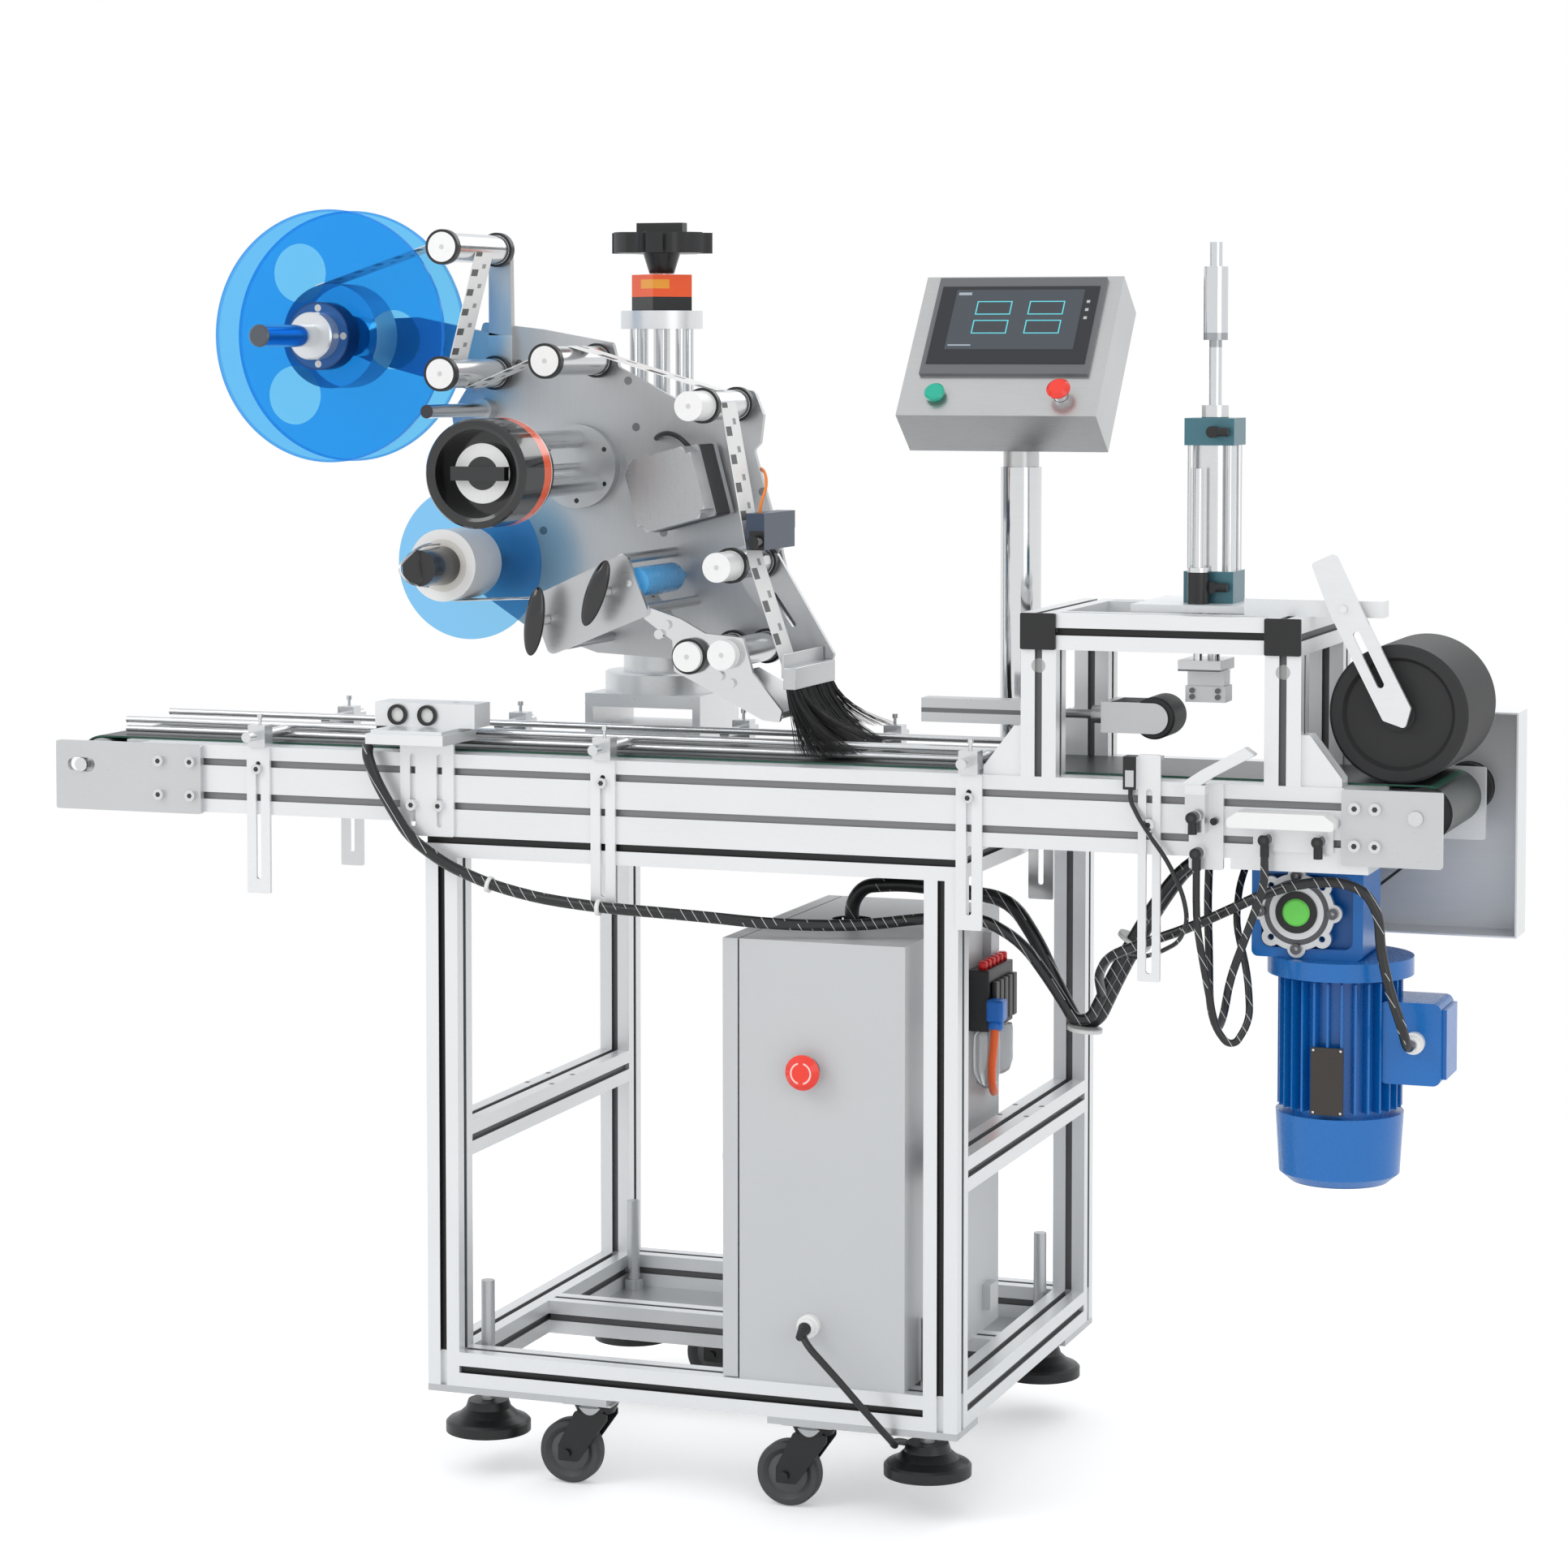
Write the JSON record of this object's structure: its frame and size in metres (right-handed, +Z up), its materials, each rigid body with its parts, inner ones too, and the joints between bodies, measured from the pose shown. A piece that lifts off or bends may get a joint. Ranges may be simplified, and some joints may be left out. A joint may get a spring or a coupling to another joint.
{
  "type": "box labelling machine",
  "caption": "Belt conveyor on a castor stand with a label head on a lift column, a pneumatic feeder tower, a press roller, a worm gear drive and a tilted touch console.",
  "frame": {"origin": "on the floor under the middle of the machine's box without its power cord", "axes": "+X along the belt towards the drive end, +Y from the operator's side to the back, +Z up"},
  "size_m": [1.698, 0.829, 1.483],
  "materials": {
    "anodised": "satin clear anodised",
    "machined": "machined",
    "steel": "brushed stainless",
    "zinc_steel": "zinc plated",
    "chrome_rod": "hard chrome",
    "cabinet_paint": "light grey powder coat",
    "motor_paint": "blue enamel",
    "belt_rubber": "smooth dark green belt",
    "black_rubber": "matt black",
    "wheel_rubber": "moulded black",
    "black_plastic": "moulded black",
    "white_plastic": "white",
    "blue_clear": "clear blue sheet and white roll",
    "roller_blue": "blue roller cover",
    "red_plastic": "red",
    "green_plastic": "green",
    "screen": "screen in a black frame",
    "paper": "label liner",
    "bristle": "aluminium holder and black bristles",
    "circuit_gear": "switchgear housings"
  },
  "bodies": {
    "frame": {"base_frame": "anodised", "feet_and_plates": "zinc_steel", "conveyor_frame": "anodised", "conveyor_belt": "belt_rubber", "side_guides": "machined", "cabinet_shell": "cabinet_paint", "control_gear": "circuit_gear", "console_pole": "chrome_rod", "lift_column": "machined", "wiring": "black_rubber", "tower_frame": "anodised", "air_cylinders": "machined", "gearbox": "machined", "drive_motor": "motor_paint", "drive_guard": "machined", "drive_belt": "black_rubber", "power_cord": "black_rubber", "cord_coil": "black_rubber", "power_plug": "black_plastic"},
    "head": {"head_plate": "machined", "stepper_motor": "machined", "peel_unit": "machined", "brush": "bristle", "label_web": "paper"},
    "console": {"console_box": "steel", "touch_screen": "screen"},
    "cabinet_door": {"cabinet_door": "cabinet_paint"},
    "cabinet_stop": {"cabinet_stop": "red_plastic"},
    "castor_fork_left_back": {"castor_fork_left_back": "zinc_steel"},
    "castor_fork_left_front": {"castor_fork_left_front": "zinc_steel"},
    "castor_fork_right_back": {"castor_fork_right_back": "zinc_steel"},
    "castor_fork_right_front": {"castor_fork_right_front": "zinc_steel"},
    "castor_wheel_left_back": {"castor_wheel_left_back": "wheel_rubber"},
    "castor_wheel_left_front": {"castor_wheel_left_front": "wheel_rubber"},
    "castor_wheel_right_back": {"castor_wheel_right_back": "wheel_rubber"},
    "castor_wheel_right_front": {"castor_wheel_right_front": "wheel_rubber"},
    "console_stop": {"console_stop": "red_plastic"},
    "drive_roller": {"drive_roller": "black_rubber"},
    "guide_roller_1": {"guide_roller_1": "white_plastic"},
    "guide_roller_2": {"guide_roller_2": "white_plastic"},
    "guide_roller_3": {"guide_roller_3": "white_plastic"},
    "guide_roller_4": {"guide_roller_4": "white_plastic"},
    "guide_roller_5": {"guide_roller_5": "white_plastic"},
    "guide_roller_6": {"guide_roller_6": "white_plastic"},
    "guide_roller_7": {"guide_roller_7": "white_plastic"},
    "height_knob": {"height_knob": "black_plastic"},
    "idler_roller": {"idler_roller": "machined"},
    "lift_rod": {"lift_rod": "chrome_rod"},
    "nip_roller": {"nip_roller": "roller_blue"},
    "output_pulley": {"output_pulley": "machined"},
    "press_arm": {"press_arm": "machined"},
    "press_roller": {"press_roller": "black_rubber"},
    "push_roller": {"push_roller": "black_rubber"},
    "rewind_reel": {"rewind_reel": "blue_clear"},
    "side_rod": {"side_rod": "machined"},
    "start_button": {"start_button": "green_plastic"},
    "tension_wheel": {"tension_wheel": "black_plastic"},
    "upper_reel": {"upper_reel": "blue_clear"},
    "wing_knob_1": {"wing_knob_1": "black_plastic"},
    "wing_knob_2": {"wing_knob_2": "black_plastic"}
  },
  "joints": [
    {"name": "castor_swivel_left_front", "type": "hinge", "parent": "frame", "child": "castor_fork_left_front", "pos_m": [-0.17, -0.198, 0.092], "axis": [0, 0, 1], "continuous": true},
    {"name": "castor_spin_left_front", "type": "hinge", "parent": "castor_fork_left_front", "child": "castor_wheel_left_front", "pos_m": [-0.2, -0.198, 0.0375], "axis": [0, 1, 0], "continuous": true},
    {"name": "castor_swivel_right_front", "type": "hinge", "parent": "frame", "child": "castor_fork_right_front", "pos_m": [0.099, -0.198, 0.092], "axis": [0, 0, 1], "continuous": true},
    {"name": "castor_spin_right_front", "type": "hinge", "parent": "castor_fork_right_front", "child": "castor_wheel_right_front", "pos_m": [0.069, -0.198, 0.0375], "axis": [0, 1, 0], "continuous": true},
    {"name": "castor_swivel_left_back", "type": "hinge", "parent": "frame", "child": "castor_fork_left_back", "pos_m": [-0.17, 0.276, 0.092], "axis": [0, 0, 1], "continuous": true},
    {"name": "castor_spin_left_back", "type": "hinge", "parent": "castor_fork_left_back", "child": "castor_wheel_left_back", "pos_m": [-0.2, 0.276, 0.0375], "axis": [0, 1, 0], "continuous": true},
    {"name": "castor_swivel_right_back", "type": "hinge", "parent": "frame", "child": "castor_fork_right_back", "pos_m": [0.099, 0.276, 0.092], "axis": [0, 0, 1], "continuous": true},
    {"name": "castor_spin_right_back", "type": "hinge", "parent": "castor_fork_right_back", "child": "castor_wheel_right_back", "pos_m": [0.069, 0.276, 0.0375], "axis": [0, 1, 0], "continuous": true},
    {"name": "drive_spin", "type": "hinge", "parent": "frame", "child": "drive_roller", "pos_m": [0.789, -0.106, 0.8217], "axis": [0, 1, 0], "continuous": true},
    {"name": "idler_spin", "type": "hinge", "parent": "frame", "child": "idler_roller", "pos_m": [-0.814, -0.106, 0.8217], "axis": [0, 1, 0], "continuous": true},
    {"name": "output_spin", "type": "hinge", "parent": "frame", "child": "output_pulley", "pos_m": [0.647, -0.036, 0.706], "axis": [0, 1, 0], "continuous": true},
    {"name": "knob_turn", "type": "hinge", "parent": "frame", "child": "height_knob", "pos_m": [-0.209, 0.114, 1.44], "axis": [0, 0, 1], "range_deg": [-8640, 0]},
    {"name": "head_lift", "type": "slide", "parent": "frame", "child": "head", "axis": [0, 0, 1], "range_m": [0, 0.12]},
    {"name": "guide_spin_1", "type": "hinge", "parent": "head", "child": "guide_roller_1", "pos_m": [-0.359, -0.118, 1.436], "axis": [0, 1, 0], "continuous": true},
    {"name": "guide_spin_2", "type": "hinge", "parent": "head", "child": "guide_roller_2", "pos_m": [-0.362, -0.118, 1.289], "axis": [0, 1, 0], "continuous": true},
    {"name": "guide_spin_3", "type": "hinge", "parent": "head", "child": "guide_roller_3", "pos_m": [-0.23, -0.118, 1.304], "axis": [0, 1, 0], "continuous": true},
    {"name": "guide_spin_4", "type": "hinge", "parent": "head", "child": "guide_roller_4", "pos_m": [-0.053, -0.118, 1.253], "axis": [0, 1, 0], "continuous": true},
    {"name": "guide_spin_5", "type": "hinge", "parent": "head", "child": "guide_roller_5", "pos_m": [-0.019, -0.118, 1.07], "axis": [0, 1, 0], "continuous": true},
    {"name": "guide_spin_6", "type": "hinge", "parent": "head", "child": "guide_roller_6", "pos_m": [-0.053, -0.118, 0.968], "axis": [0, 1, 0], "continuous": true},
    {"name": "guide_spin_7", "type": "hinge", "parent": "head", "child": "guide_roller_7", "pos_m": [-0.011, -0.118, 0.971], "axis": [0, 1, 0], "continuous": true},
    {"name": "nip_spin", "type": "hinge", "parent": "head", "child": "nip_roller", "pos_m": [-0.127, -0.118, 1.05], "axis": [0, 1, 0], "continuous": true},
    {"name": "tension_turn", "type": "hinge", "parent": "head", "child": "tension_wheel", "pos_m": [-0.258, -0.296, 1.178], "axis": [0, 1, 0], "continuous": true},
    {"name": "clamp_turn_1", "type": "hinge", "parent": "head", "child": "wing_knob_1", "pos_m": [-0.231, -0.206, 1.006], "axis": [0, 1, 0], "range_deg": [-90, 90]},
    {"name": "clamp_turn_2", "type": "hinge", "parent": "head", "child": "wing_knob_2", "pos_m": [-0.155, -0.206, 1.04], "axis": [0, 1, 0], "range_deg": [-90, 90]},
    {"name": "reel_spin", "type": "hinge", "parent": "head", "child": "upper_reel", "pos_m": [-0.531, -0.118, 1.333], "axis": [0, 1, 0], "continuous": true},
    {"name": "rewind_spin", "type": "hinge", "parent": "head", "child": "rewind_reel", "pos_m": [-0.376, -0.118, 1.064], "axis": [0, 1, 0], "continuous": true},
    {"name": "console_swivel", "type": "hinge", "parent": "frame", "child": "console", "pos_m": [0.263, 0.064, 1.19], "axis": [0, 0, 1], "range_deg": [-30, 30]},
    {"name": "start_press", "type": "slide", "parent": "console", "child": "start_button", "axis": [0, 0.7934, -0.6088], "range_m": [0, 0.003], "stiffness_N_per_m": 800, "springref_m": -0.002},
    {"name": "console_stop_press", "type": "slide", "parent": "console", "child": "console_stop", "axis": [0, 0.7934, -0.6088], "range_m": [0, 0.004], "stiffness_N_per_m": 1500, "springref_m": -0.002},
    {"name": "cabinet_stop_press", "type": "slide", "parent": "frame", "child": "cabinet_stop", "axis": [0, 1, 0], "range_m": [0, 0.005], "stiffness_N_per_m": 1500, "springref_m": -0.002},
    {"name": "door_hinge", "type": "hinge", "parent": "frame", "child": "cabinet_door", "pos_m": [0.012, 0.14, 0.4], "axis": [0, 0, -1], "range_deg": [0, 60]},
    {"name": "lift_stroke", "type": "slide", "parent": "frame", "child": "lift_rod", "axis": [0, 0, 1], "range_m": [-0.05, 0]},
    {"name": "side_stroke", "type": "slide", "parent": "frame", "child": "side_rod", "axis": [1, 0, 0], "range_m": [-0.035, 0]},
    {"name": "push_spin", "type": "hinge", "parent": "side_rod", "child": "push_roller", "pos_m": [0.482, -0.133, 0.911], "axis": [0, 1, 0], "continuous": true},
    {"name": "press_lift", "type": "hinge", "parent": "frame", "child": "press_arm", "pos_m": [0.703, -0.207, 1.04], "axis": [0, -1, 0], "range_deg": [0, 40]},
    {"name": "press_spin", "type": "hinge", "parent": "press_arm", "child": "press_roller", "pos_m": [0.76, -0.116, 0.9273], "axis": [0, 1, 0], "continuous": true}
  ],
  "couplings": [
    {"joint": "idler_spin", "follows": "drive_spin", "ratio": 1},
    {"joint": "output_spin", "follows": "drive_spin", "ratio": 1},
    {"joint": "knob_turn", "follows": "head_lift", "rad_per_m": -1256.6}
  ]
}
